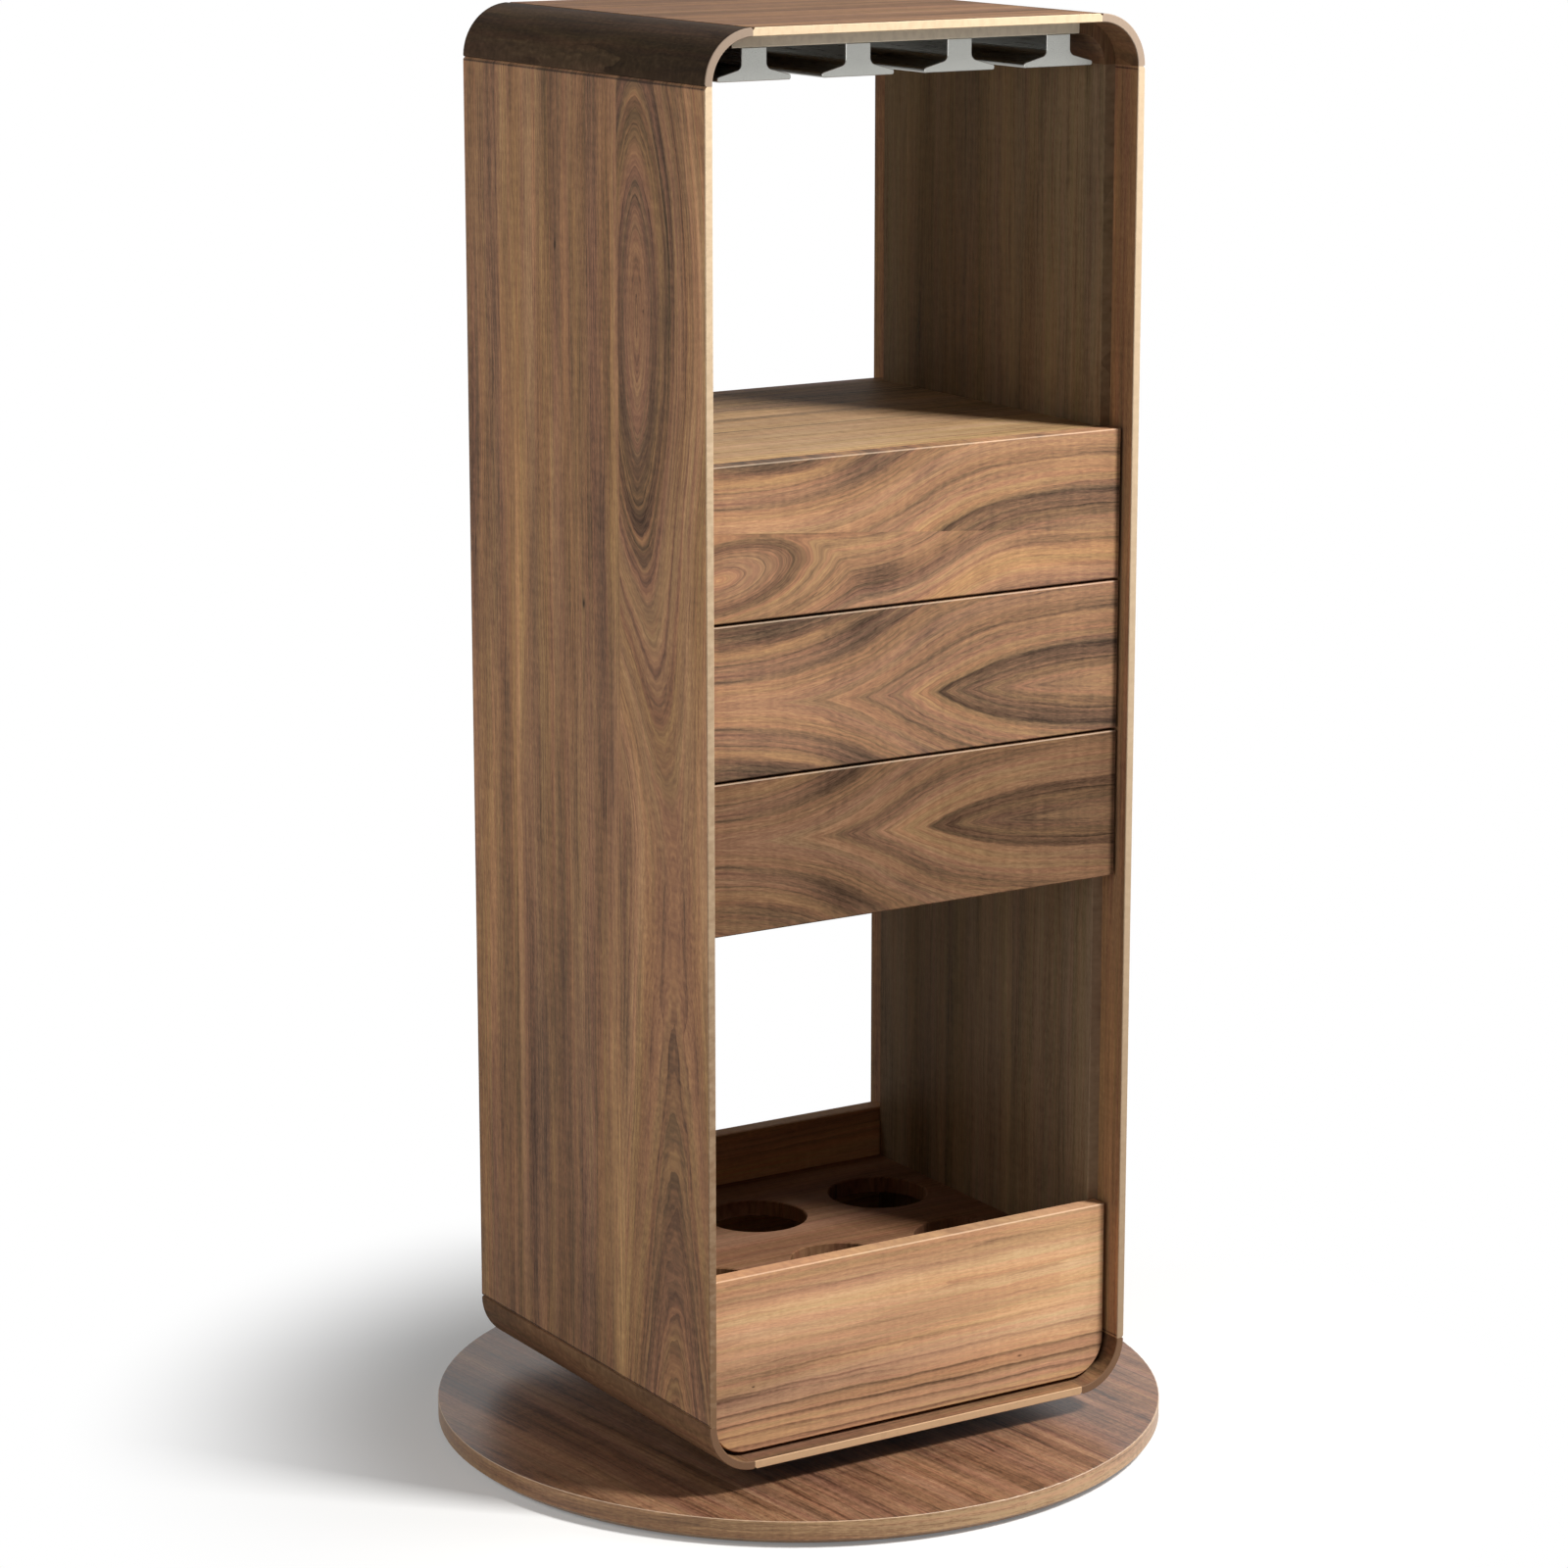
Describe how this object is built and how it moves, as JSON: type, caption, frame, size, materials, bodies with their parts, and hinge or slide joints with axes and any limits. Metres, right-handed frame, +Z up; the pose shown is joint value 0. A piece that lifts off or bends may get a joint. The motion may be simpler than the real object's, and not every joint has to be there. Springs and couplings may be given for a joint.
{
  "type": "swivel bar cabinet",
  "caption": "Tall open wooden bar cabinet that swivels on a round base, with glass rails, push-open drawers and a holed bottle tray.",
  "frame": {"origin": "centre of the round base's footprint, on the floor", "axes": "+Z up, the drawer fronts face -Y, +X to the right seen from the front"},
  "size_m": [0.6799, 0.68, 1.313],
  "materials": {
    "walnut_panel": "open-pore satin lacquer",
    "walnut_corner": "open-pore satin lacquer",
    "walnut_inner": "open-pore satin lacquer",
    "walnut_shelf": "open-pore satin lacquer",
    "walnut_front": "open-pore satin lacquer",
    "walnut_base": "open-pore satin lacquer",
    "maple": "clear lacquer",
    "beech": "plain",
    "satin_aluminium": "satin anodised",
    "zinc_steel": "zinc plated",
    "ball_steel": "polished",
    "black_nylon": "moulded"
  },
  "bodies": {
    "base": {"base_disc": "walnut_base", "base_glides": "black_nylon", "swivel_lower_plate": "zinc_steel", "swivel_pivot": "zinc_steel", "lower_plate_screws": "zinc_steel"},
    "swivel_race": {"swivel_balls": "ball_steel", "swivel_ball_cage": "zinc_steel"},
    "cabinet": {"swivel_upper_plate": "zinc_steel", "upper_plate_screws": "zinc_steel", "side_panel_left": "walnut_panel", "side_panel_right": "walnut_panel", "top_panel": "walnut_panel", "bottom_panel": "walnut_panel", "corner_top_left": "walnut_corner", "corner_top_right": "walnut_corner", "corner_bottom_left": "walnut_corner", "corner_bottom_right": "walnut_corner", "liner_left": "walnut_inner", "liner_right": "walnut_inner", "inner_top": "walnut_inner", "inner_bottom": "walnut_inner", "panel_dowels": "beech", "glass_rail_1": "satin_aluminium", "glass_rail_2": "satin_aluminium", "glass_rail_3": "satin_aluminium", "glass_rail_4": "satin_aluminium", "glass_rail_screws": "zinc_steel", "block_top": "walnut_shelf", "block_bottom": "walnut_shelf", "block_back": "walnut_front", "tray_front": "walnut_front", "tray_rear": "walnut_front", "bottle_board": "walnut_shelf", "runner_outer_rails": "zinc_steel", "runner_screws": "zinc_steel", "push_catches": "black_nylon"},
    "drawer_1": {"drawer_1_front": "walnut_front", "drawer_1_side_left": "maple", "drawer_1_side_right": "maple", "drawer_1_back": "maple", "drawer_1_bottom": "maple", "drawer_1_rails": "zinc_steel", "drawer_1_screws": "zinc_steel"},
    "ball_strips_1": {"drawer_1_ball_strips": "ball_steel"},
    "drawer_2": {"drawer_2_front": "walnut_front", "drawer_2_side_left": "maple", "drawer_2_side_right": "maple", "drawer_2_back": "maple", "drawer_2_bottom": "maple", "drawer_2_rails": "zinc_steel", "drawer_2_screws": "zinc_steel"},
    "ball_strips_2": {"drawer_2_ball_strips": "ball_steel"},
    "drawer_3": {"drawer_3_front": "walnut_front", "drawer_3_side_left": "maple", "drawer_3_side_right": "maple", "drawer_3_back": "maple", "drawer_3_bottom": "maple", "drawer_3_rails": "zinc_steel", "drawer_3_screws": "zinc_steel"},
    "ball_strips_3": {"drawer_3_ball_strips": "ball_steel"}
  },
  "joints": [
    {"name": "cabinet_swivel", "type": "hinge", "parent": "base", "child": "cabinet", "pos_m": [0, 0, 0.03625], "axis": [0, 0, 1], "continuous": true},
    {"name": "race_orbit", "type": "hinge", "parent": "base", "child": "swivel_race", "pos_m": [0, 0, 0.03625], "axis": [0, 0, 1], "continuous": true},
    {"name": "drawer_1_slide", "type": "slide", "parent": "cabinet", "child": "drawer_1", "axis": [0, -1, 0], "range_m": [-0.0025, 0.2]},
    {"name": "strips_1_roll", "type": "slide", "parent": "cabinet", "child": "ball_strips_1", "axis": [0, -1, 0], "range_m": [-0.00125, 0.1]},
    {"name": "drawer_2_slide", "type": "slide", "parent": "cabinet", "child": "drawer_2", "axis": [0, -1, 0], "range_m": [-0.0025, 0.2]},
    {"name": "strips_2_roll", "type": "slide", "parent": "cabinet", "child": "ball_strips_2", "axis": [0, -1, 0], "range_m": [-0.00125, 0.1]},
    {"name": "drawer_3_slide", "type": "slide", "parent": "cabinet", "child": "drawer_3", "axis": [0, -1, 0], "range_m": [-0.0025, 0.2]},
    {"name": "strips_3_roll", "type": "slide", "parent": "cabinet", "child": "ball_strips_3", "axis": [0, -1, 0], "range_m": [-0.00125, 0.1]}
  ],
  "couplings": [
    {"joint": "race_orbit", "follows": "cabinet_swivel", "ratio": 0.5},
    {"joint": "strips_1_roll", "follows": "drawer_1_slide", "ratio": 0.5},
    {"joint": "strips_2_roll", "follows": "drawer_2_slide", "ratio": 0.5},
    {"joint": "strips_3_roll", "follows": "drawer_3_slide", "ratio": 0.5}
  ]
}
